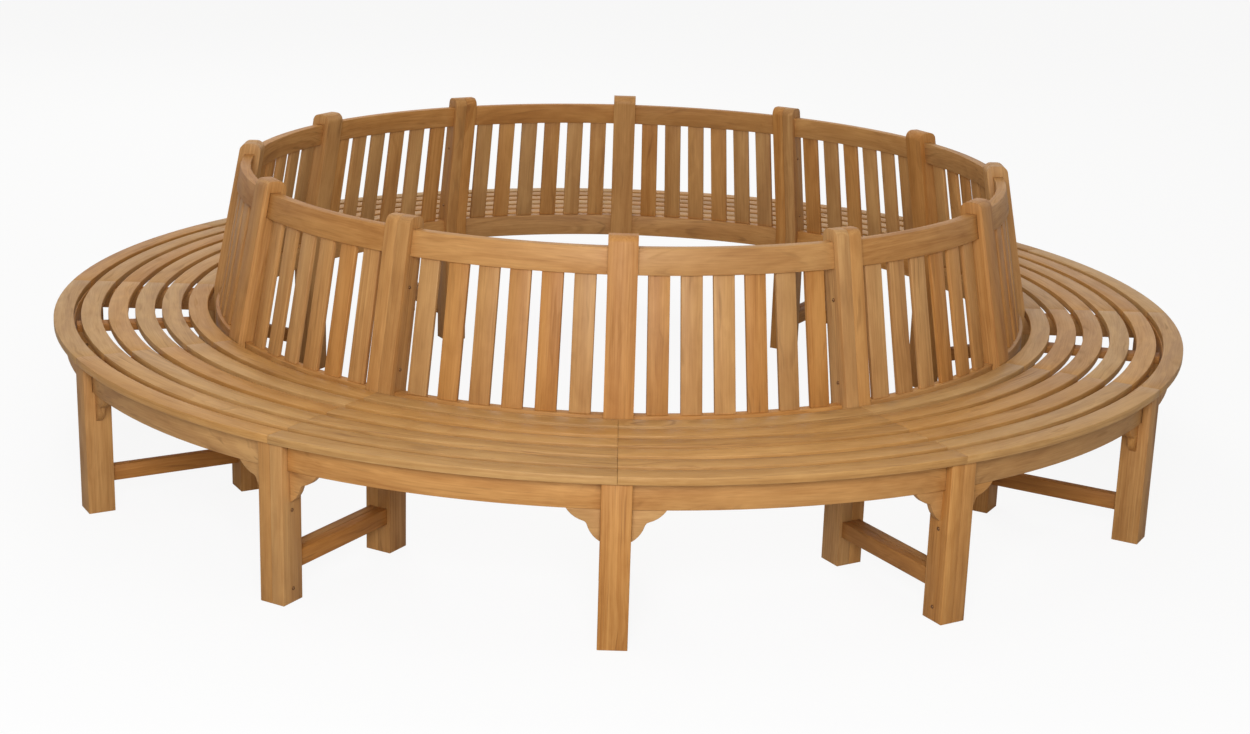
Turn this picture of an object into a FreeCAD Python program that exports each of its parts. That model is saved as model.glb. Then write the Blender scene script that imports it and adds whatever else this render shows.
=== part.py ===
"""Twelve-sided teak tree bench: a full ring of seat built as six sections that bolt together round a trunk.

Frame: origin on the ground at the centre of the trunk space, +Z up, millimetres. Station 0 faces -Y, and
the twelve stations follow every 30 degrees, anticlockwise seen from above. Even stations carry a middle
frame, with one leg and one post. Odd stations carry a joint frame, where two sections meet: two half legs
and two half posts side by side. Each piece is drawn once, with X as the radius, Y along the ring and Z up,
and is then turned to its stations or bays.
"""
import FreeCAD, Part
import math
import os
import Sketcher

STATIONS = 12
RINGS = 6
BACK_SLATS = 6
TURN = 360 / STATIONS
HALF_TURN = TURN / 2
FIRST = -90
SPARE = 10  # how far a cut runs on past the wood that it opens
APART = 50  # between the corners of an outline before the sheet places them

SIZES = [
    ("seat_radius", 1640, "outer edge of the outer seat slat"),
    ("seat_height", 426, "top of the seat slats"),
    ("overall_height", 860, "top of the posts"),
    ("slat_width", 54.6, "seat slat, across"),
    ("slat_gap", 19.9, "open gap between two seat slats"),
    ("slat_thickness", 20, "seat slat"),
    ("slat_seam", 0.8, "butt seam between seat slats over a frame"),
    ("leg_width", 71, "leg, along the ring"),
    ("leg_depth", 71, "leg, along the radius"),
    ("leg_inset", 8, "seat edge past the leg's outer face"),
    ("post_width", 74, "post, along the ring"),
    ("post_depth", 70, "post below the seat, along the radius"),
    ("post_head_depth", 62, "post at its top, level"),
    ("post_inset", 3, "inner seat slat to the post"),
    ("post_round", 22, "rounding over the post's top"),
    ("back_rake", 11.5, "lean of the post's outer face, degrees"),
    ("section_seam", 0.6, "between the two halves of a joint frame"),
    ("fit_gap", 0.3, "clearance on each side of a housed end"),
    ("apron_height", 70, "curved rail under the outer slat"),
    ("apron_thickness", 26, "curved rail under the outer slat"),
    ("housing", 12, "depth that a rail enters a leg or post"),
    ("bracket_size", 80, "corner bracket, along the leg and along the apron"),
    ("bracket_lobe", 70, "radius of the bracket's two swelling ends"),
    ("bracket_cove", 14, "radius of the hollow between them"),
    ("bracket_cove_reach", 44, "from the leg and from the apron to the middle of the hollow"),
    ("bracket_thickness", 19, "corner bracket"),
    ("bracket_setback", 2.2, "bracket inward of the leg's middle, to follow the apron"),
    ("top_rail_height", 65, "top rail of the back"),
    ("top_rail_thickness", 28, "top rail of the back, level"),
    ("top_rail_drop", 31, "post top above the top rail"),
    ("low_rail_height", 70, "bottom rail of the back"),
    ("low_rail_thickness", 30, "bottom rail of the back"),
    ("back_slat_width", 54, "back slat"),
    ("back_slat_thickness", 12, "back slat, level"),
    ("back_slat_angle", 4.15, "from one back slat to the next, degrees"),
    ("bearer_height", 55, "seat bearer between post and leg"),
    ("bearer_thickness", 27, "seat bearer"),
    ("stretcher_height", 42, "low stretcher between post and leg"),
    ("stretcher_thickness", 27, "low stretcher"),
    ("stretcher_rise", 77, "ground to the underside of the stretcher"),
    ("batten_width", 50, "batten under the middle of a bay"),
    ("batten_thickness", 21, "batten under the middle of a bay"),
    ("batten_inset", 6, "batten end to the apron, and to the inner slat's edge"),
]

doc = FreeCAD.newDocument("tree_bench")
sheet = doc.addObject("Spreadsheet::Sheet", "Sizes")
for row, (alias, value, note) in enumerate(SIZES, start=1):
    sheet.set(f"A{row}", note)
    sheet.set(f"B{row}", str(value))
    sheet.setAlias(f"B{row}", alias)
doc.recompute()

# Levels and radii that several pieces share, as expressions on the sheet.
SLAT_UNDER = "(Sizes.seat_height - Sizes.slat_thickness)"
APRON_UNDER = f"({SLAT_UNDER} - Sizes.apron_height)"
LEG_FACE = "(Sizes.seat_radius - Sizes.leg_inset)"
LEG_BACK = f"({LEG_FACE} - Sizes.leg_depth)"
LEG_MID = f"({LEG_FACE} - Sizes.leg_depth / 2)"
SEAT_INNER = f"(Sizes.seat_radius - {RINGS} * Sizes.slat_width - {RINGS - 1} * Sizes.slat_gap)"
POST_FACE = f"({SEAT_INNER} - Sizes.post_inset)"
POST_MID = f"({POST_FACE} - Sizes.post_depth / 2)"
RISE = "(Sizes.overall_height - Sizes.seat_height)"
HEAD_FACE = f"({POST_FACE} - {RISE} * tan(Sizes.back_rake * 1 deg))"
HEAD_MID = f"({HEAD_FACE} - Sizes.post_head_depth / 2)"
TOP_RAIL_TOP = "(Sizes.overall_height - Sizes.top_rail_drop)"
TOP_RAIL_UNDER = f"({TOP_RAIL_TOP} - Sizes.top_rail_height)"
LOW_RAIL_UNDER = "(Sizes.seat_height - Sizes.low_rail_height)"
BEARER_UNDER = f"({SLAT_UNDER} - Sizes.bearer_height)"
HALF_SEAM = "(Sizes.section_seam / 2)"


def back_middle(level):
    """Radius of the middle of the back at a level above the seat, as an expression."""
    return f"({POST_MID} - ({POST_MID} - {HEAD_MID}) * ({level} - Sizes.seat_height) / {RISE})"


def new_body(name):
    return doc.addObject("PartDesign::Body", name)


def origin_plane(body, role):
    for feature in body.Origin.OriginFeatures:
        if feature.Role == role:
            return feature


def outline(body, name, corners, along=None):
    """A closed outline in the radius-height plane, every corner tied to the sheet.

    corners holds (radius, height) expressions, and a height of "0" lies on the ground line. along is how
    far the outline stands along the ring from the radius.
    """
    sketch = body.newObject("Sketcher::SketchObject", name)
    sketch.AttachmentSupport = [(origin_plane(body, "XZ_Plane"), "")]
    sketch.MapMode = "FlatFace"
    if along:
        sketch.setExpression(".AttachmentOffset.Base.z", f"-({along})")
    count = len(corners)
    spots = [FreeCAD.Vector(APART * (i + 1), APART * (1 + i % 3) + i, 0) for i in range(count)]
    for i in range(count):
        sketch.addGeometry(Part.LineSegment(spots[i], spots[(i + 1) % count]), False)
    for i in range(count):
        sketch.addConstraint(Sketcher.Constraint("Coincident", i, 2, (i + 1) % count, 1))
    for i, (radius, height) in enumerate(corners):
        n = sketch.addConstraint(Sketcher.Constraint("DistanceX", -1, 1, i, 1, spots[i].x))
        sketch.setExpression(f"Constraints[{n}]", radius)
        if height == "0":
            sketch.addConstraint(Sketcher.Constraint("PointOnObject", i, 1, -1))
        else:
            n = sketch.addConstraint(Sketcher.Constraint("DistanceY", -1, 1, i, 1, spots[i].y))
            sketch.setExpression(f"Constraints[{n}]", height)
    return sketch


def revolve(body, name, sketch, angle):
    """Turns an outline about the bench's axis, half the angle to each side of the radius."""
    feature = body.newObject("PartDesign::Revolution", name)
    feature.Profile = sketch
    feature.ReferenceAxis = (sketch, ["V_Axis"])
    feature.Midplane = True
    feature.setExpression("Angle", angle)
    return feature


def pad(body, name, sketch, length, middle=False):
    """Thickens an outline along the ring, to both sides of the radius where middle is set."""
    feature = body.newObject("PartDesign::Pad", name)
    feature.Profile = sketch
    feature.setExpression("Length", length)
    feature.Midplane = middle
    feature.Reversed = not middle
    return feature


def pocket(body, name, sketch, length):
    """Cuts an outline away along the ring, outward from the radius."""
    feature = body.newObject("PartDesign::Pocket", name)
    feature.Profile = sketch
    feature.setExpression("Length", length)
    return feature


def box(body, kind, name, radius, along, level, size, turn=0):
    """A block with one corner at (radius, along, level), turned about the bench's axis."""
    feature = body.newObject(f"PartDesign::{kind}Box", name)
    for side, value in zip(("Length", "Width", "Height"), size):
        feature.setExpression(side, value)
    spin = f"rotation(vector(0; 0; 1); {turn})"
    feature.setExpression("Placement", f"placement({spin} * vector({radius}; {along}; {level}); {spin})")
    return feature


def mirror(body, name, features):
    """Repeats features on the other side of the radius."""
    feature = body.newObject("PartDesign::Mirrored", name)
    feature.Originals = features
    feature.MirrorPlane = (origin_plane(body, "XZ_Plane"), [""])
    body.Tip = feature
    return feature


def other_hand(name, source):
    """The same piece made as its mirror image, for the other side of a frame."""
    feature = doc.addObject("Part::Mirroring", name)
    feature.Source = source
    feature.Base = (0, 0, 0)
    feature.Normal = (0, 1, 0)
    return feature


NODES = []


def node(label, pieces, angle=None):
    """One named sub-part: the pieces given, turned together to their place on the ring."""
    compound = doc.addObject("Part::Compound", label)
    compound.Label = label
    compound.Links = pieces
    if angle is not None:
        compound.setExpression("Placement", f"placement(vector(0; 0; 0); rotation(vector(0; 0; 1); {angle}))")
    NODES.append(compound)
    return compound


def copies(pieces, angles):
    """A copy of each piece at each angle."""
    made = []
    for angle in angles:
        for piece in pieces:
            copy = doc.addObject("App::Link", f"{piece.Name}_at")
            copy.LinkedObject = piece
            turn = f"rotation(vector(0; 0; 1); {angle})"
            copy.setExpression("Placement", f"placement(vector(0; 0; 0); {turn})")
            made.append(copy)
    return made


STATION_ANGLES = [FIRST + TURN * k for k in range(STATIONS)]
MIDDLE_ANGLES = STATION_ANGLES[0::2]
JOINT_ANGLES = STATION_ANGLES[1::2]
BAY_ANGLES = [angle + HALF_TURN for angle in STATION_ANGLES]


# Seat slats: six rings of curved slats, butted over every frame
def seat_slat(ring):
    outer = f"(Sizes.seat_radius - {ring} * (Sizes.slat_width + Sizes.slat_gap))"
    inner = f"({outer} - Sizes.slat_width)"
    body = new_body(f"seat_slat_{ring + 1}")
    section = outline(body, f"seat_slat_section_{ring + 1}", [
        (inner, SLAT_UNDER),
        (outer, SLAT_UNDER),
        (outer, "Sizes.seat_height"),
        (inner, "Sizes.seat_height"),
    ])
    revolve(body, f"seat_slat_sweep_{ring + 1}", section, f"{TURN} - Sizes.slat_seam / {outer} * 180 / pi")
    return body


for ring in range(RINGS):
    node(f"seat_slats_ring_{ring + 1}", copies([seat_slat(ring)], BAY_ANGLES))


# Curved rails: revolved boards whose squared ends are housed in the legs and posts
def curved_rail(name, section, middle, under, height, width):
    """section is the board's outline, and width is that of the legs or posts that hold its ends."""
    body = new_body(name)
    sketch = outline(body, f"{name}_section", section)
    revolve(body, f"{name}_sweep", sketch, str(TURN))
    end = f"({width} / 2 - Sizes.housing)"
    cut = box(body, "Subtractive", f"{name}_end", f"{middle} - {width}", f"-{SPARE}", f"{under} - {SPARE}",
              (f"2 * {width}", f"{end} + {SPARE}", f"{height} + 2 * {SPARE}"), turn=-HALF_TURN)
    mirror(body, f"{name}_ends", [cut])
    return body


APRON_OUT = f"({LEG_MID} + Sizes.apron_thickness / 2)"
APRON_IN = f"({LEG_MID} - Sizes.apron_thickness / 2)"
apron = curved_rail("apron_rail", [
    (APRON_IN, APRON_UNDER),
    (APRON_OUT, APRON_UNDER),
    (APRON_OUT, SLAT_UNDER),
    (APRON_IN, SLAT_UNDER),
], LEG_MID, APRON_UNDER, "Sizes.apron_height", "Sizes.leg_width")
node("apron_rails", copies([apron], BAY_ANGLES))

LOW_OUT = f"({POST_MID} + Sizes.low_rail_thickness / 2)"
LOW_IN = f"({POST_MID} - Sizes.low_rail_thickness / 2)"
low_rail = curved_rail("bottom_rail", [
    (LOW_IN, LOW_RAIL_UNDER),
    (LOW_OUT, LOW_RAIL_UNDER),
    (LOW_OUT, "Sizes.seat_height"),
    (LOW_IN, "Sizes.seat_height"),
], POST_MID, LOW_RAIL_UNDER, "Sizes.low_rail_height", "Sizes.post_width")
node("bottom_rails", copies([low_rail], BAY_ANGLES))


def top_rail_section(ease):
    """The top rail's outline, grown by ease on every side."""
    corners = []
    for level, side in (
        (f"({TOP_RAIL_UNDER} - {ease})", -1),
        (f"({TOP_RAIL_UNDER} - {ease})", 1),
        (f"({TOP_RAIL_TOP} + {ease})", 1),
        (f"({TOP_RAIL_TOP} + {ease})", -1),
    ):
        half = f"{side} * (Sizes.top_rail_thickness / 2 + {ease})"
        corners.append((f"{back_middle(level)} + {half}", level))
    return corners


top_rail = curved_rail("top_rail", top_rail_section("0"), back_middle(TOP_RAIL_UNDER),
                       TOP_RAIL_UNDER, "Sizes.top_rail_height", "Sizes.post_width")
node("top_rails", copies([top_rail], BAY_ANGLES))


# Back slats: straight leaning boards between the two back rails
def back_slat():
    body = new_body("back_slat")
    half = "Sizes.back_slat_thickness / 2"
    low = "Sizes.seat_height"
    side = outline(body, "back_slat_side", [
        (f"{back_middle(low)} - {half}", low),
        (f"{back_middle(low)} + {half}", low),
        (f"{back_middle(TOP_RAIL_UNDER)} + {half}", TOP_RAIL_UNDER),
        (f"{back_middle(TOP_RAIL_UNDER)} - {half}", TOP_RAIL_UNDER),
    ])
    pad(body, "back_slat_board", side, "Sizes.back_slat_width", middle=True)
    return body


slat = back_slat()
for number, bay in enumerate(BAY_ANGLES, start=1):
    steps = [i - (BACK_SLATS - 1) / 2 for i in range(BACK_SLATS)]
    angles = [f"{bay} + {step} * Sizes.back_slat_angle" for step in steps]
    node(f"back_slats_bay_{number:02d}", copies([slat], angles))


# Frames: leg, post, bearer and stretcher, single at a middle frame, paired at a joint frame
def rail_start(thickness, paired):
    """Where a straight rail begins along the ring: at the seam in a pair, or centred."""
    return HALF_SEAM if paired else f"(-{thickness} / 2)"


def rail_seat(body, name, start, under, height, thickness, paired):
    """A housing for a straight rail's end, open to the seam in a half frame."""
    floor = f"{rail_start(thickness, paired)} - " + (f"{SPARE}" if paired else "Sizes.fit_gap")
    spare = f"{SPARE} + Sizes.fit_gap" if paired else "2 * Sizes.fit_gap"
    box(body, "Subtractive", name, start, floor, f"{under} - Sizes.fit_gap",
        ("Sizes.housing + Sizes.fit_gap", f"{thickness} + {spare}", height))


def cross_rail(name, under, height, thickness, paired):
    """A straight rail whose ends are housed in the post and the leg."""
    body = new_body(name)
    length = f"{LEG_BACK} - {POST_FACE} + 2 * Sizes.housing"
    box(body, "Additive", f"{name}_board", f"{POST_FACE} - Sizes.housing", rail_start(thickness, paired),
        under, (length, thickness, height))
    return body


def leg(name, paired):
    """A square leg, or half of one, mortised for the bearer and stretcher and housed for the aprons."""
    body = new_body(name)
    start = HALF_SEAM if paired else "(-Sizes.leg_width / 2)"
    box(body, "Additive", f"{name}_blank", LEG_BACK, start, "0",
        ("Sizes.leg_depth", f"Sizes.leg_width / 2 - {start}", SLAT_UNDER))
    rail_seat(body, f"{name}_bearer_seat", LEG_BACK, BEARER_UNDER,
              f"Sizes.bearer_height + {SPARE}", "Sizes.bearer_thickness", paired)
    rail_seat(body, f"{name}_stretcher_seat", LEG_BACK, "Sizes.stretcher_rise",
              "Sizes.stretcher_height + 2 * Sizes.fit_gap", "Sizes.stretcher_thickness", paired)
    depth = "Sizes.housing + Sizes.fit_gap"
    cut = box(body, "Subtractive", f"{name}_apron_housing", f"{APRON_IN} - Sizes.fit_gap",
              f"Sizes.leg_width / 2 - ({depth})", f"{APRON_UNDER} - Sizes.fit_gap",
              ("Sizes.apron_thickness + 2 * Sizes.fit_gap", f"{depth} + {SPARE}",
               f"Sizes.apron_height + {SPARE}"))
    if not paired:
        mirror(body, f"{name}_apron_housings", [cut])
    return body


def post(name, paired):
    """A rear leg and post sawn as one bent piece, rounded over its top, or half of one."""
    body = new_body(name)
    inner = f"({POST_FACE} - Sizes.post_depth)"
    side = outline(body, f"{name}_side", [
        (inner, "0"),
        (POST_FACE, "0"),
        (POST_FACE, "Sizes.seat_height"),
        (HEAD_FACE, "Sizes.overall_height"),
        (f"({HEAD_FACE} - Sizes.post_head_depth)", "Sizes.overall_height"),
        (inner, "Sizes.seat_height"),
    ], along=HALF_SEAM if paired else None)
    if paired:
        blank = pad(body, f"{name}_blank", side, f"Sizes.post_width / 2 - {HALF_SEAM}")
    else:
        blank = pad(body, f"{name}_blank", side, "Sizes.post_width", middle=True)
    doc.recompute()
    top = body.Shape.BoundBox.ZMax
    crown = []
    for i, edge in enumerate(body.Shape.Edges, start=1):
        if all(abs(v.Z - top) < 0.01 for v in edge.Vertexes) and abs(edge.tangentAt(0).y) > 0.99:
            crown.append(f"Edge{i}")
    ease = body.newObject("PartDesign::Fillet", f"{name}_crown")
    ease.Base = (blank, crown)
    ease.setExpression("Radius", "Sizes.post_round")
    back_start = f"{POST_FACE} - Sizes.housing - Sizes.fit_gap"
    rail_seat(body, f"{name}_bearer_seat", back_start, BEARER_UNDER,
              "Sizes.bearer_height + 2 * Sizes.fit_gap", "Sizes.bearer_thickness", paired)
    rail_seat(body, f"{name}_stretcher_seat", back_start, "Sizes.stretcher_rise",
              "Sizes.stretcher_height + 2 * Sizes.fit_gap", "Sizes.stretcher_thickness", paired)
    depth = "Sizes.housing + Sizes.fit_gap"
    floor = f"Sizes.post_width / 2 - ({depth})"
    low = box(body, "Subtractive", f"{name}_bottom_rail_housing", f"{LOW_IN} - 2 * Sizes.fit_gap",
              floor, f"{LOW_RAIL_UNDER} - Sizes.fit_gap",
              ("Sizes.low_rail_thickness + 3 * Sizes.fit_gap", f"{depth} + {SPARE}",
               "Sizes.low_rail_height + 2 * Sizes.fit_gap"))
    mark = outline(body, f"{name}_top_rail_mark", top_rail_section("Sizes.fit_gap"), along=floor)
    high = pocket(body, f"{name}_top_rail_housing", mark, f"{depth} + {SPARE}")
    if not paired:
        mirror(body, f"{name}_rail_housings", [low, high])
    return body


middle_leg = leg("middle_leg", False)
half_leg = leg("half_leg", True)
half_leg_pair = [half_leg, other_hand("half_leg_other", half_leg)]
middle_post = post("middle_post", False)
half_post = post("half_post", True)
half_post_pair = [half_post, other_hand("half_post_other", half_post)]
for number, angle in enumerate(MIDDLE_ANGLES, start=1):
    node(f"middle_leg_{number}", [middle_leg], angle)
    node(f"middle_post_{number}", [middle_post], angle)
for number, angle in enumerate(JOINT_ANGLES, start=1):
    node(f"joint_leg_pair_{number}", half_leg_pair, angle)
    node(f"joint_post_pair_{number}", half_post_pair, angle)


def frame_rails(label, name, under, height, thickness):
    """One rail in every middle frame and two side by side in every joint frame."""
    single = cross_rail(name, under, height, thickness, False)
    half = cross_rail(f"{name}_paired", under, height, thickness, True)
    pair = [half, other_hand(f"{name}_other", half)]
    node(label, copies([single], MIDDLE_ANGLES) + copies(pair, JOINT_ANGLES))


frame_rails("seat_bearers", "seat_bearer", BEARER_UNDER, "Sizes.bearer_height", "Sizes.bearer_thickness")
frame_rails("leg_stretchers", "leg_stretcher", "Sizes.stretcher_rise", "Sizes.stretcher_height",
            "Sizes.stretcher_thickness")


# Battens: flat boards under the slats at the middle of every bay
batten = new_body("slat_batten")
box(batten, "Additive", "slat_batten_board", f"{SEAT_INNER} + Sizes.batten_inset", "-Sizes.batten_width / 2",
    f"{SLAT_UNDER} - Sizes.batten_thickness",
    (f"{APRON_IN} - {SEAT_INNER} - 2 * Sizes.batten_inset", "Sizes.batten_width", "Sizes.batten_thickness"))
node("slat_battens", copies([batten], BAY_ANGLES))


# Corner brackets: scrolled boards under the apron, one on each side of every leg
def lobe_middles(size, lobe, cove, reach):
    """Where the two lobes start out centred: each runs through its tip and touches the hollow."""
    tip = FreeCAD.Vector(size, 0, 0)
    hollow = FreeCAD.Vector(reach, -reach, 0)
    across = hollow - tip
    span = across.Length
    along = (span ** 2 + lobe ** 2 - (lobe + cove) ** 2) / (2 * span)
    aside = (lobe ** 2 - along ** 2) ** 0.5
    across.normalize()
    side = FreeCAD.Vector(across.y, -across.x, 0)
    nose = tip + across * along + side * aside
    return FreeCAD.Vector(-nose.y, -nose.x, 0), nose


def arc(middle, radius, start, end):
    """An arc anticlockwise about middle, from the direction of start to that of end."""
    angles = [math.atan2(spot.y - middle.y, spot.x - middle.x) for spot in (start, end)]
    return Part.ArcOfCircle(Part.Circle(middle, FreeCAD.Vector(0, 0, 1), radius), *angles)


def corner_bracket():
    body = new_body("corner_bracket")
    sketch = body.newObject("Sketcher::SketchObject", "corner_bracket_scroll")
    sketch.AttachmentSupport = [(origin_plane(body, "YZ_Plane"), "")]
    sketch.MapMode = "FlatFace"
    sketch.setExpression(".AttachmentOffset.Base.x", "Sizes.leg_width / 2")
    sketch.setExpression(".AttachmentOffset.Base.y", APRON_UNDER)
    sketch.setExpression(".AttachmentOffset.Base.z",
                         f"{LEG_MID} - Sizes.bracket_setback - Sizes.bracket_thickness / 2")
    parts = ("size", "lobe", "cove", "cove_reach")
    size, lobe, cove, reach = (float(sheet.get(f"bracket_{part}")) for part in parts)
    corner = FreeCAD.Vector(0, 0, 0)
    toe = FreeCAD.Vector(0, -size, 0)
    nose = FreeCAD.Vector(size, 0, 0)
    hollow = FreeCAD.Vector(reach, -reach, 0)
    toe_middle, nose_middle = lobe_middles(size, lobe, cove, reach)
    sketch.addGeometry([
        arc(toe_middle, lobe, toe, hollow),
        arc(hollow, cove, nose_middle, toe_middle),
        arc(nose_middle, lobe, hollow, nose),
        Part.LineSegment(nose, corner),
        Part.LineSegment(corner, toe),
    ], False)
    rules = [
        ("Tangent", 0, 2, 1, 2),
        ("Tangent", 1, 1, 2, 1),
        ("Coincident", 2, 2, 3, 1),
        ("Coincident", 3, 2, 4, 1),
        ("Coincident", 4, 2, 0, 1),
        ("Coincident", 3, 2, -1, 1),
        ("Horizontal", 3),
        ("Vertical", 4),
    ]
    for rule in rules:
        sketch.addConstraint(Sketcher.Constraint(*rule))
    sizes = [
        ("size", ("DistanceX", -1, 1, 2, 2, size)),
        ("size", ("DistanceY", 0, 1, -1, 1, size)),
        ("cove_reach", ("DistanceX", -1, 1, 1, 3, reach)),
        ("cove_reach", ("DistanceY", 1, 3, -1, 1, reach)),
        ("lobe", ("Radius", 0, lobe)),
        ("cove", ("Radius", 1, cove)),
        ("lobe", ("Radius", 2, lobe)),
    ]
    for part, rule in sizes:
        n = sketch.addConstraint(Sketcher.Constraint(*rule))
        sketch.setExpression(f"Constraints[{n}]", f"Sizes.bracket_{part}")
    board = body.newObject("PartDesign::Pad", "corner_bracket_board")
    board.Profile = sketch
    board.setExpression("Length", "Sizes.bracket_thickness")
    return body


bracket = corner_bracket()
node("corner_brackets", copies([bracket, other_hand("corner_bracket_other", bracket)], STATION_ANGLES))

doc.recompute()
for item in doc.Objects:
    if "Invalid" in item.State or "Error" in item.State:
        raise RuntimeError(f"{item.Label} failed: {item.State}")
for item in NODES:
    if item.Shape.isNull() or not item.Shape.isValid() or not item.Shape.Solids:
        raise RuntimeError(f"{item.Label} has no valid solid")
os.makedirs("parts", exist_ok=True)
for item in NODES:
    item.Shape.exportStep(f"parts/{item.Label}.step")
print(len(NODES), "sub-parts,", sum(len(item.Shape.Solids) for item in NODES), "solids")
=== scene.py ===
"""Teak tree bench, dressed: every board of the frame gets eased edges and its own run of grain."""
import math
import random

import bmesh
import bpy
from mathutils import Matrix, Vector

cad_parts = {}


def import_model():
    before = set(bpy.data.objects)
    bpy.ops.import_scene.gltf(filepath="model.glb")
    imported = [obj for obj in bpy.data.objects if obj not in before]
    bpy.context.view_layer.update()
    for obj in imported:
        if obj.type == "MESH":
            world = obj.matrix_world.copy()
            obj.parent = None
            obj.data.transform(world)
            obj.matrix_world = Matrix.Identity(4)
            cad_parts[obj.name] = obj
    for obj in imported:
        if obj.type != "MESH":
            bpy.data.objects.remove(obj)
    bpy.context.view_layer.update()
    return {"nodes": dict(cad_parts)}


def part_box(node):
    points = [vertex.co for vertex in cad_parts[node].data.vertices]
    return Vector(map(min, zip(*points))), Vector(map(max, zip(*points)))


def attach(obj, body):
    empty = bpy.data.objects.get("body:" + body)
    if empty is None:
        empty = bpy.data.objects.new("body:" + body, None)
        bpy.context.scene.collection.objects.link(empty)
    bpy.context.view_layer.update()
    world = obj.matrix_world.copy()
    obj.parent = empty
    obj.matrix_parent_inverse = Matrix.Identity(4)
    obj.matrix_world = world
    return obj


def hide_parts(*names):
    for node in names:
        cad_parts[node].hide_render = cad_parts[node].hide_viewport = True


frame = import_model()

# ---- boards, in metres
EASE = 0.0017  # radius of a rounded arris
SEAM_EASE = 0.0005  # the same where two boards meet end to end or half to half
EASE_STEPS = 2
WELD = 0.00001  # points nearer than this become one
FLAT_TURN = math.radians(0.4)  # faces that turn less than this become one
ARRIS_TURN = math.radians(25)
SMOOTH_TURN = math.radians(40)
CROSSWISE = 0.1  # an edge with less than this cosine to the ring's run lies across a seat slat
SEAM_REACH = 0.001  # how far a half leg's or post's inner face stands from the frame's middle, at most
SEAT_TOP = 0.426
BACK_LEAN = 0.194  # how far the posts lean in, for each metre up
FIRST_TURN = 0.1  # in radians round the ring, where no board has its middle

# ---- how the boards were sawn from the log
STRAIGHTNESS = 0.35  # at 0 the grain bends with a curved board, at 1 it runs straight through
ALONG_LOG = 40.0
HEART_ASIDE = 0.06
HEART_DEPTH = (0.05, 0.20)
SKEW = 0.012

# ---- bolts: radius, height and distance from the frame's middle of each head, in metres
LEG_SIDE = 0.0355
POST_SIDE = 0.037
BOLT_PLACES = (
    (1.5965, 0.236, LEG_SIDE),
    (1.5965, 0.036, LEG_SIDE),
    (1.126, 0.685, POST_SIDE),
    (1.166, 0.480, POST_SIDE),
)
JOINT_FRAMES = 6
HEAD_HEIGHT = 0.0030
CROWN_RADIUS = 0.0026
SOCKET_RADIUS = 0.0016
SOCKET_DEPTH = 0.0015
HEAD_SIDES = 18
HEAD_STEPS = ((-0.0005, 1.25), (-0.0015, 1.10), (0.0, 1.35), (-0.0012, 1.0))  # down, and times wider

# ---- camera, solved from the legs, posts and rims of the ring
PHOTO_WIDTH = 1250
FOCAL_PIXELS = 2061
SENSOR = 36.0
FAR_CLIP = 200.0
EYE = Vector((-0.0230, -5.9966, 1.9497))
PITCH, YAW, ROLL = 0.28306, 0.00740, 0.03163

# ---- light: lamps are discs, given by place, size in metres, power in watts and tint
AIM = Vector((0.0, 0.0, 0.4))
NEUTRAL = (1.0, 1.0, 1.0)
LAMPS = {
    "key": ((-0.15, -5.9, 2.7), 2.5, 200.0, (0.98, 1.0, 1.05)),
    "top": ((-0.8, -0.7, 5.0), 4.0, 32.0, NEUTRAL),
    "back": ((-2.0, 6.0, 5.5), 4.0, 155.0, NEUTRAL),
}
WITHOUT_GLINT = ("back",)
FILL = (0.35, 0.338, 0.315)
WHITE = (1.0, 1.0, 1.0)
FLOOR_HALF = 40.0
FLOOR_SEEN = (0.90, 0.90, 0.90)
FLOOR_UNSEEN = (0.60, 0.60, 0.60)
FLOOR_GLOW = 0.90  # share of plain white in the floor that the camera sees; the rest takes the shadow

random.seed(42394)


# ---- shader arithmetic
class Socket:
    """A shader socket. Python arithmetic on it adds Math nodes, and node() adds any other node."""

    def __init__(self, tree, socket=None):
        self.tree = tree
        self.socket = socket

    def node(self, kind, settings=None, values=None, output=0):
        made = self.tree.nodes.new(kind)
        for name, value in (settings or {}).items():
            if name == "stops":
                ramp = made.color_ramp
                while len(ramp.elements) < len(value):
                    ramp.elements.new(0.5)
                for element, (place, colour) in zip(ramp.elements, value):
                    element.position = place
                    element.color = (*colour, 1.0)
            else:
                setattr(made, name, value)
        for name, value in (values or {}).items():
            if isinstance(value, Socket):
                self.tree.links.new(value.socket, made.inputs[name])
            else:
                made.inputs[name].default_value = value
        return Socket(self.tree, made.outputs[output])

    def math(self, operation, *others):
        return self.node("ShaderNodeMath", {"operation": operation}, dict(enumerate((self, *others))))

    def __add__(self, other):
        return self.math("ADD", other)

    def __sub__(self, other):
        return self.math("SUBTRACT", other)

    def __rsub__(self, other):
        return (self * -1.0) + other

    def __mul__(self, other):
        return self.math("MULTIPLY", other)

    def __pow__(self, other):
        return self.math("POWER", other)

    __radd__ = __add__
    __rmul__ = __mul__

    def ramp(self, low, high):
        """0 below low and 1 above high, smooth between."""
        settings = {"interpolation_type": "SMOOTHSTEP"}
        return self.node("ShaderNodeMapRange", settings, {"Value": self, "From Min": low, "From Max": high})

    def split(self):
        made = self.node("ShaderNodeSeparateXYZ", {}, {"Vector": self}).socket.node
        return [Socket(self.tree, output) for output in made.outputs]

    def join(self, x, y, z):
        return self.node("ShaderNodeCombineXYZ", {}, {"X": x, "Y": y, "Z": z})

    def noise(self, scale, detail=2.0, roughness=0.5, distortion=0.0):
        values = {"Vector": self, "Scale": scale, "Detail": detail, "Roughness": roughness,
                  "Distortion": distortion}
        return self.node("ShaderNodeTexNoise", {}, values)

    def choose(self, off, on):
        """The colour off where this value is 0, and on where it is 1."""
        off, on = (colour if isinstance(colour, Socket) else (*colour, 1.0) for colour in (off, on))
        return self.node("ShaderNodeMix", {"data_type": "RGBA"}, {0: self, 6: off, 7: on}, output=2)

    def plug(self, node, name):
        self.tree.links.new(self.socket, node.inputs[name])


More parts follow.
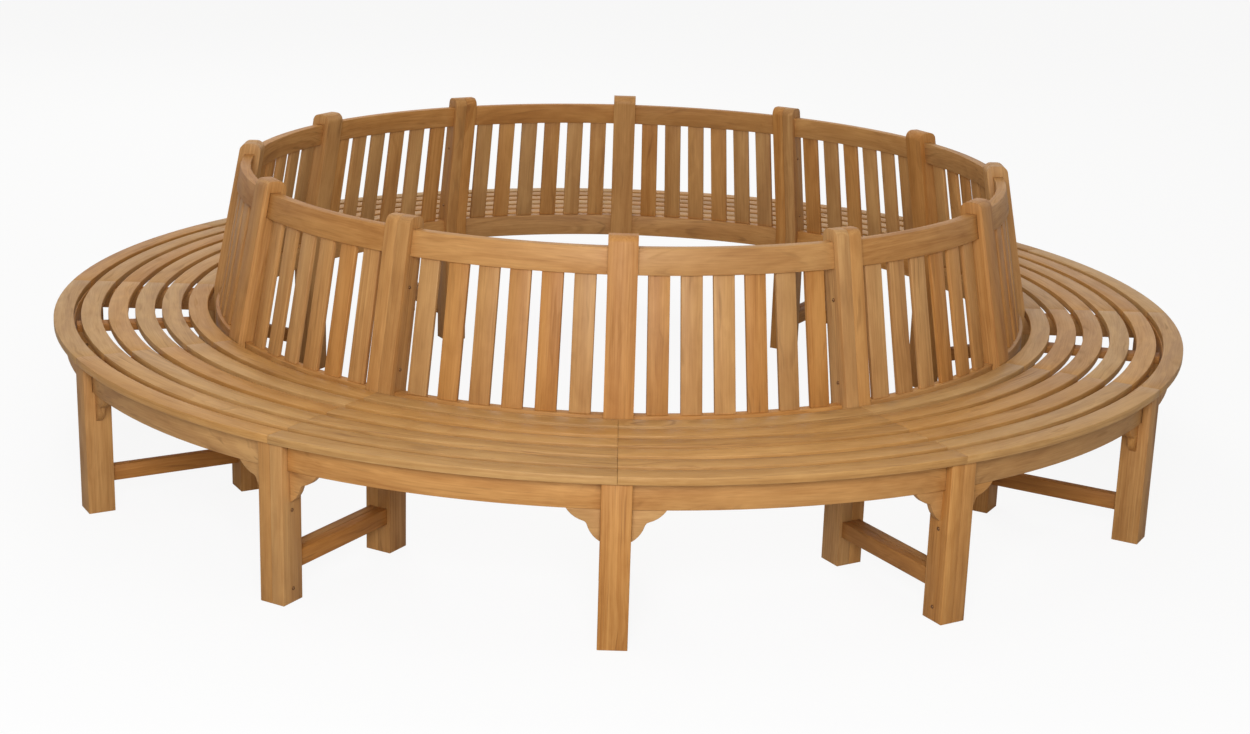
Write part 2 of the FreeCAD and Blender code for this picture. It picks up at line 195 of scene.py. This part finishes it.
def new_material(name):
    material = bpy.data.materials.new(name)
    material.use_nodes = True
    return material, Socket(material.node_tree), material.node_tree.nodes["Principled BSDF"]


# ---- wood
# Distances are in metres, and a mark's scale is its number of spots in a metre along or across the grain.
RINGS_A_METRE = 110.0
RING_UNEVENNESS = 0.014
# how far the growth rings stray: slowly, quickly and round a knot
RING_WANDER = 0.030
RING_RIPPLE = 0.012
RING_SWELL = 0.016
# knots: how many, and from where to where their swelling and their dark core fade
KNOT_SCALE = 4.6
KNOT_SWELL = (0.0, 0.24)
KNOT_CORE = (0.006, 0.030)
KNOT_COLOUR = (0.075, 0.030, 0.012)
# the plain wood's place between pale and brown, and what each mark adds to it
PALE_SHARE = 0.27
BAND_WEIGHT = 0.70
STREAK_WEIGHT = 0.75
FIBRE_WEIGHT = 0.65
MOTTLE_WEIGHT = 0.45
# late wood and pores: in a plain board, and how much more in one with the strongest figure
LATE_WEIGHT = (0.03, 0.18)
PORE_WEIGHT = (0.16, 0.24)
# how much boards differ from each other
DARKEST = 0.88
TONE_RANGE = 0.16
MOTTLE_RANGE = 0.14
HUE_RANGE = 0.008
SATURATION_RANGE = 0.10


def teak(name, pale, honey, brown, streak, dullness, shine):
    """Sanded teak: straight grain in soft bands, faint growth rings, fine fibres, pores and small knots."""
    material, tree, shader = new_material(name)
    grain = tree.node("ShaderNodeAttribute", {"attribute_name": "grain"}, output=1)
    board = tree.node("ShaderNodeAttribute", {"attribute_name": "board"}, output=1)
    tone, warmth, figure = board.split()
    along, across, depth = grain.split()

    # growth rings about the heart of the tree, which wanders slowly along the board
    wander = grain.join(along * 0.6, across * 2.0, depth * 2.0).noise(1.0, 2.0, 0.45) - 0.5
    ripple = grain.join(along * 3.4, across * 12.0, depth * 12.0).noise(1.0, 3.0, 0.6) - 0.5
    knots = tree.node("ShaderNodeTexVoronoi", {"feature": "F1"}, {
        "Vector": grain.join(along * 0.45, across, depth), "Scale": KNOT_SCALE, "Randomness": 1.0})
    radius = ((across * across + depth * depth) ** 0.5 + wander * RING_WANDER + ripple * RING_RIPPLE
              + (1.0 - knots.ramp(*KNOT_SWELL)) * RING_SWELL)
    uneven = grain.join(radius * 40.0, 0.0, 0.0).noise(1.0, 1.0, 0.5) - 0.5
    ring = ((radius + uneven * RING_UNEVENNESS) * RINGS_A_METRE).math("FRACT")
    late = ring.ramp(0.1, 0.92) * (1.0 - ring.ramp(0.92, 1.0))

    # soft bands, streaks, fibres and pores, all drawn out along the grain, and a cloudy mottling
    band = grain.join(along * 0.5, radius * 42.0, depth * 5.0).noise(1.0, 2.0, 0.5) - 0.5
    streaks = grain.join(along * 3.2, radius * 120.0, depth * 60.0).noise(1.0, 2.0, 0.55) - 0.5
    fibre = grain.join(along * 8.0, across * 260.0, depth * 260.0).noise(1.0, 2.0, 0.6)
    pores = grain.join(along * 6.0, radius * 330.0, depth * 330.0).noise(1.0, 1.0, 0.5).ramp(0.60, 0.76)
    mottle = grain.join(along * 9.0, across * 24.0, depth * 24.0).noise(1.0, 3.0, 0.6, 0.6) - 0.5

    shade = (PALE_SHARE + band * BAND_WEIGHT + streaks * STREAK_WEIGHT + (fibre - 0.5) * FIBRE_WEIGHT
             - mottle * MOTTLE_WEIGHT + late * (LATE_WEIGHT[0] + figure * figure * LATE_WEIGHT[1]))
    colour = tree.node("ShaderNodeValToRGB", {"stops": ((0.0, pale), (0.45, honey), (1.0, brown))},
                       {"Fac": shade.math("MAXIMUM", 0.0)})
    colour = (pores * (PORE_WEIGHT[0] + figure * PORE_WEIGHT[1])).choose(colour, streak)
    colour = ((1.0 - knots.ramp(*KNOT_CORE)) * 0.8).choose(colour, KNOT_COLOUR)
    tint = tree.node("ShaderNodeHueSaturation", {}, {
        "Hue": 0.5 + (warmth - 0.5) * -HUE_RANGE,
        "Saturation": 1.0 + (warmth - 0.5) * SATURATION_RANGE,
        "Value": DARKEST + tone * TONE_RANGE + mottle * MOTTLE_RANGE,
        "Color": colour,
    })
    tint.plug(shader, "Base Color")
    (dullness + fibre * 0.14 + pores * 0.10).plug(shader, "Roughness")
    shader.inputs["Specular IOR Level"].default_value = shine
    relief = (fibre - 0.5) * 0.5 - pores * 0.5 - late * 0.1
    bump = tree.node("ShaderNodeBump", {}, {"Strength": 0.2, "Distance": 0.0006, "Height": relief})
    bump.plug(shader, "Normal")
    return material


def steel(name):
    """Bolt steel in a mottled dark brown."""
    material, tree, shader = new_material(name)
    place = tree.node("ShaderNodeTexCoord", output=3)
    dull = place.noise(900.0, 3.0)
    stops = ((0.3, (0.21, 0.105, 0.046)), (0.7, (0.35, 0.195, 0.092)))
    tree.node("ShaderNodeValToRGB", {"stops": stops}, {"Fac": dull}).plug(shader, "Base Color")
    (0.45 + dull * 0.25).plug(shader, "Roughness")
    shader.inputs["Metallic"].default_value = 1.0
    return material


# each record slot's teak: pale, honey and brown wood, the pores' colour, dullness and shine
TEAKS = {slot: teak(slot, *look) for slot, look in {
    "seat_teak": ((0.592, 0.324, 0.108), (0.468, 0.234, 0.066), (0.285, 0.124, 0.033),
                  (0.175, 0.074, 0.023), 0.44, 0.38),
    "back_and_leg_teak": ((0.572, 0.298, 0.097), (0.442, 0.206, 0.059), (0.265, 0.103, 0.025),
                          (0.150, 0.060, 0.018), 0.44, 0.30),
    "frame_teak": ((0.48, 0.230, 0.066), (0.37, 0.162, 0.043), (0.21, 0.084, 0.022),
                   (0.11, 0.045, 0.016), 0.48, 0.25),
}.items()}

# ---- boards: the way along, across and through each kind of piece, and its slot
# R is along the radius, T along the ring and Z up, all at the board's own middle.
KINDS = {
    "seat_slats": ("TRZ", "seat_teak"),
    "back_slats": ("ZTR", "back_and_leg_teak"),
    "top_rails": ("TZR", "back_and_leg_teak"),
    "bottom_rails": ("TZR", "back_and_leg_teak"),
    "apron_rails": ("TZR", "back_and_leg_teak"),
    "corner_brackets": ("TZR", "back_and_leg_teak"),
    "middle_leg": ("ZTR", "back_and_leg_teak"),
    "joint_leg": ("ZTR", "back_and_leg_teak"),
    "middle_post": ("ZTR", "back_and_leg_teak"),
    "joint_post": ("ZTR", "back_and_leg_teak"),
    "seat_bearers": ("RZT", "frame_teak"),
    "leg_stretchers": ("RZT", "frame_teak"),
    "slat_battens": ("RTZ", "frame_teak"),
}


def merged_copy(node):
    """The node's solids as clean closed shells, with flat faces whole."""
    bm = bmesh.new()
    bm.from_mesh(frame["nodes"][node].data)
    bmesh.ops.remove_doubles(bm, verts=bm.verts, dist=WELD)
    bmesh.ops.dissolve_limit(bm, angle_limit=FLAT_TURN, verts=bm.verts, edges=bm.edges)
    return bm


def middle_of(verts):
    return sum((v.co for v in verts), Vector()) / len(verts)


def turn_of(verts):
    """The board's angle round the ring."""
    middle = middle_of(verts)
    return (math.atan2(middle.y, middle.x) - FIRST_TURN) % math.tau


def boards_in(bm):
    """The separate boards of a mesh, in order round the ring, each as a list of its vertices."""
    found, boards = set(), []
    for first in bm.verts:
        if first in found:
            continue
        found.add(first)
        board, reach = [], [first]
        while reach:
            vert = reach.pop()
            board.append(vert)
            for edge in vert.link_edges:
                other = edge.other_vert(vert)
                if other not in found:
                    found.add(other)
                    reach.append(other)
        boards.append(sorted(board, key=lambda v: v.index))
    return sorted(boards, key=turn_of)


def sharp_edges(bm):
    return [edge for edge in bm.edges if edge.is_manifold and edge.calc_face_angle(0.0) > ARRIS_TURN]


def seam_edges(edges, node):
    """The edges where a seat slat meets the next, or a half leg or post its other half."""
    if node.startswith("seat_slats"):
        found = []
        for edge in edges:
            middle = (edge.verts[0].co + edge.verts[1].co) / 2
            way = (edge.verts[1].co - edge.verts[0].co).normalized()
            if abs(way.dot(Vector((-middle.y, middle.x, 0.0)).normalized())) < CROSSWISE:
                found.append(edge)
        return found
    if node.startswith("joint"):
        low, high = (Vector(corner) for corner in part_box(node))
        station = ((low + high) / 2).to_2d().normalized()
        return [edge for edge in edges
                if all(abs(v.co.to_2d().cross(station)) < SEAM_REACH for v in edge.verts)]
    return []


def round_over(bm, edges, size):
    bmesh.ops.bevel(bm, geom=edges, offset=size, offset_type="OFFSET", segments=EASE_STEPS, profile=0.5,
                    affect="EDGES", clamp_overlap=True, material=-1)


def ease_edges(bm, node):
    """Rounds every arris, and those at a seam only a little."""
    edges = sharp_edges(bm)
    seams = set(seam_edges(edges, node))
    round_over(bm, [edge for edge in edges if edge not in seams], EASE)
    seams = seam_edges(sharp_edges(bm), node)
    if seams:
        round_over(bm, seams, SEAM_EASE)


def place_in_board(point, centre, radius, outward, axes):
    """The point's (along, across, depth) in its board, unbent: round the ring, and up the leaning back."""
    ring = Vector((-outward.y, outward.x, 0.0))
    side, out = point.dot(ring), point.dot(outward)
    if axes[0] == "T":
        turn = math.atan2(side, out)
        side = turn * radius
        out = (1.0 - STRAIGHTNESS) * point.to_2d().length + STRAIGHTNESS * out
    elif axes[0] == "Z":
        out += BACK_LEAN * max(0.0, point.z - SEAT_TOP)
    parts = {"R": out - radius, "T": side, "Z": point.z - centre}
    return Vector([parts[letter] for letter in axes])


def lay_grain(bm, axes):
    """Gives every board its own place in the wood, a tone, a warmth and a strength of figure."""
    grain = bm.verts.layers.float_vector.new("grain")
    board_layer = bm.verts.layers.float_vector.new("board")
    bm.verts.index_update()
    for verts in boards_in(bm):
        middle = middle_of(verts)
        radius = sum(v.co.to_2d().length for v in verts) / len(verts)
        outward = Vector((middle.x, middle.y, 0.0)).normalized()
        start = random.uniform(0.0, ALONG_LOG)
        aside = random.uniform(-HEART_ASIDE, HEART_ASIDE)
        heart = Vector((0.0, aside, random.choice((-1, 1)) * random.uniform(*HEART_DEPTH)))
        skew = random.uniform(-SKEW, SKEW)
        look = Vector((random.random() ** 0.5, random.random(), random.random()))
        for v in verts:
            place = place_in_board(v.co, middle.z, radius, outward, axes)
            v[grain] = place + Vector((start, skew * place.x, 0.0)) - heart
            v[board_layer] = look


def new_piece(name, bm, material):
    """An object made of the mesh, smooth but for its arrises. The mesh is used up."""
    mesh = bpy.data.meshes.new(name)
    bm.to_mesh(mesh)
    bm.free()
    mesh.materials.append(material)
    mesh.shade_smooth()
    piece = bpy.data.objects.new(name, mesh)
    bpy.context.collection.objects.link(piece)
    mesh.set_sharp_from_angle(angle=SMOOTH_TURN)
    return piece


def dress(node):
    axes, slot = next(value for key, value in KINDS.items() if node.startswith(key))
    bm = merged_copy(node)
    ease_edges(bm, node)
    lay_grain(bm, axes)
    piece = new_piece(f"{node}_boards", bm, TEAKS[slot])
    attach(piece, "root")
    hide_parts(node)


for node in sorted(frame["nodes"]):
    dress(node)


# ---- bolts: round heads with a hexagon socket, on washers, through both sides of every joint frame
def circle(bm, sides, radius):
    """The edges of a circle at the height of a bolt head."""
    top = Matrix.Translation((0.0, 0.0, HEAD_HEIGHT))
    made = bmesh.ops.create_circle(bm, segments=sides, radius=radius, matrix=top)
    return list(dict.fromkeys(edge for v in made["verts"] for edge in v.link_edges))


def drawn_out(bm, edges, wider, rise):
    """Walls from a loop of edges to a new one, which is scaled and moved. Gives the new loop's edges."""
    made = bmesh.ops.extrude_edge_only(bm, edges=edges)["geom"]
    verts = [part for part in made if isinstance(part, bmesh.types.BMVert)]
    bmesh.ops.scale(bm, vec=(wider, wider, 1.0), verts=verts)
    bmesh.ops.translate(bm, vec=(0.0, 0.0, rise), verts=verts)
    return [part for part in made if isinstance(part, bmesh.types.BMEdge)]


def bolt_head(bm, turn):
    """One washer and head, drawn upright on the ground and then turned into place."""
    start = len(bm.verts)
    socket = circle(bm, 6, SOCKET_RADIUS)
    rim = circle(bm, HEAD_SIDES, CROWN_RADIUS)
    bmesh.ops.bridge_loops(bm, edges=socket + rim)
    for rise, wider in HEAD_STEPS:
        rim = drawn_out(bm, rim, wider, rise)
    bottom = drawn_out(bm, socket, 1.0, -SOCKET_DEPTH)
    bmesh.ops.edgeloop_fill(bm, edges=bottom)
    bmesh.ops.edgeloop_fill(bm, edges=rim)
    bm.verts.ensure_lookup_table()
    bmesh.ops.transform(bm, matrix=turn, verts=bm.verts[start:])


def bolts():
    bm = bmesh.new()
    for number in range(1, JOINT_FRAMES + 1):
        low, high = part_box(f"joint_leg_pair_{number}")
        angle = math.atan2((low[1] + high[1]) / 2, (low[0] + high[0]) / 2)
        for radius, height, side in BOLT_PLACES:
            for hand in (-1, 1):
                place = Matrix.Rotation(angle, 4, "Z") @ Matrix.Translation((radius, hand * side, height))
                bolt_head(bm, place @ Matrix.Rotation(-hand * math.pi / 2, 4, "X"))
    bmesh.ops.recalc_face_normals(bm, faces=bm.faces)
    piece = new_piece("joint_bolts", bm, steel("bolt_steel"))
    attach(piece, "root")


bolts()


# ---- floor, lights and camera
def floor():
    """A pale floor that shows white to the camera and keeps the bench's shadow."""
    bm = bmesh.new()
    bmesh.ops.create_grid(bm, x_segments=1, y_segments=1, size=FLOOR_HALF)
    material, tree, shader = new_material("pale_floor")
    seen = tree.node("ShaderNodeLightPath", output="Is Camera Ray")
    seen.choose(FLOOR_UNSEEN, FLOOR_SEEN).plug(shader, "Base Color")
    shader.inputs["Roughness"].default_value = 0.9
    shader.inputs["Specular IOR Level"].default_value = 0.0
    glow = tree.node("ShaderNodeEmission", {}, {"Color": (*WHITE, 1.0), "Strength": 1.0})
    lit = Socket(tree.tree, shader.outputs[0])
    surface = tree.node("ShaderNodeMixShader", {}, {0: seen * FLOOR_GLOW, 1: lit, 2: glow})
    surface.plug(material.node_tree.nodes["Material Output"], "Surface")
    plane = new_piece("floor", bm, material)


def world():
    """Soft light all round, and plain white for the camera and for whatever reflects it."""
    made = bpy.data.worlds.new("studio")
    bpy.context.scene.world = made
    made.use_nodes = True
    tree = Socket(made.node_tree)
    seen = tree.node("ShaderNodeLightPath", output="Is Camera Ray")
    mirrored, refracted = (Socket(tree.tree, seen.socket.node.outputs[name])
                           for name in ("Is Glossy Ray", "Is Transmission Ray"))
    white = seen.math("MAXIMUM", mirrored).math("MAXIMUM", refracted)
    background = made.node_tree.nodes["Background"]
    white.choose(FILL, WHITE).plug(background, "Color")
    background.inputs["Strength"].default_value = 1.0


def lamp(name, place, size, power, tint):
    light = bpy.data.lights.new(name, "AREA")
    light.shape = "DISK"
    light.size = size
    light.energy = power
    light.color = tint
    made = bpy.data.objects.new(name, light)
    made.location = place
    made.visible_glossy = name not in WITHOUT_GLINT
    made.rotation_euler = (AIM - Vector(place)).to_track_quat("-Z", "Y").to_euler()
    bpy.context.collection.objects.link(made)


def camera():
    ahead = Vector((math.sin(YAW) * math.cos(PITCH), math.cos(YAW) * math.cos(PITCH), -math.sin(PITCH)))
    right = Vector((math.cos(YAW), -math.sin(YAW), 0.0))
    up = right.cross(ahead)
    rolled_right = math.cos(ROLL) * right + math.sin(ROLL) * up
    rolled_up = -math.sin(ROLL) * right + math.cos(ROLL) * up
    data = bpy.data.cameras.new("photo_view")
    data.sensor_width = SENSOR
    data.lens = FOCAL_PIXELS / PHOTO_WIDTH * SENSOR
    data.clip_end = FAR_CLIP
    made = bpy.data.objects.new("photo_view", data)
    turn = Matrix((rolled_right, rolled_up, -ahead)).transposed().to_4x4()
    made.matrix_world = Matrix.Translation(EYE) @ turn
    bpy.context.collection.objects.link(made)
    bpy.context.scene.camera = made


floor()
world()
for name, settings in LAMPS.items():
    lamp(name, *settings)
camera()
bpy.context.scene.view_settings.view_transform = "Standard"
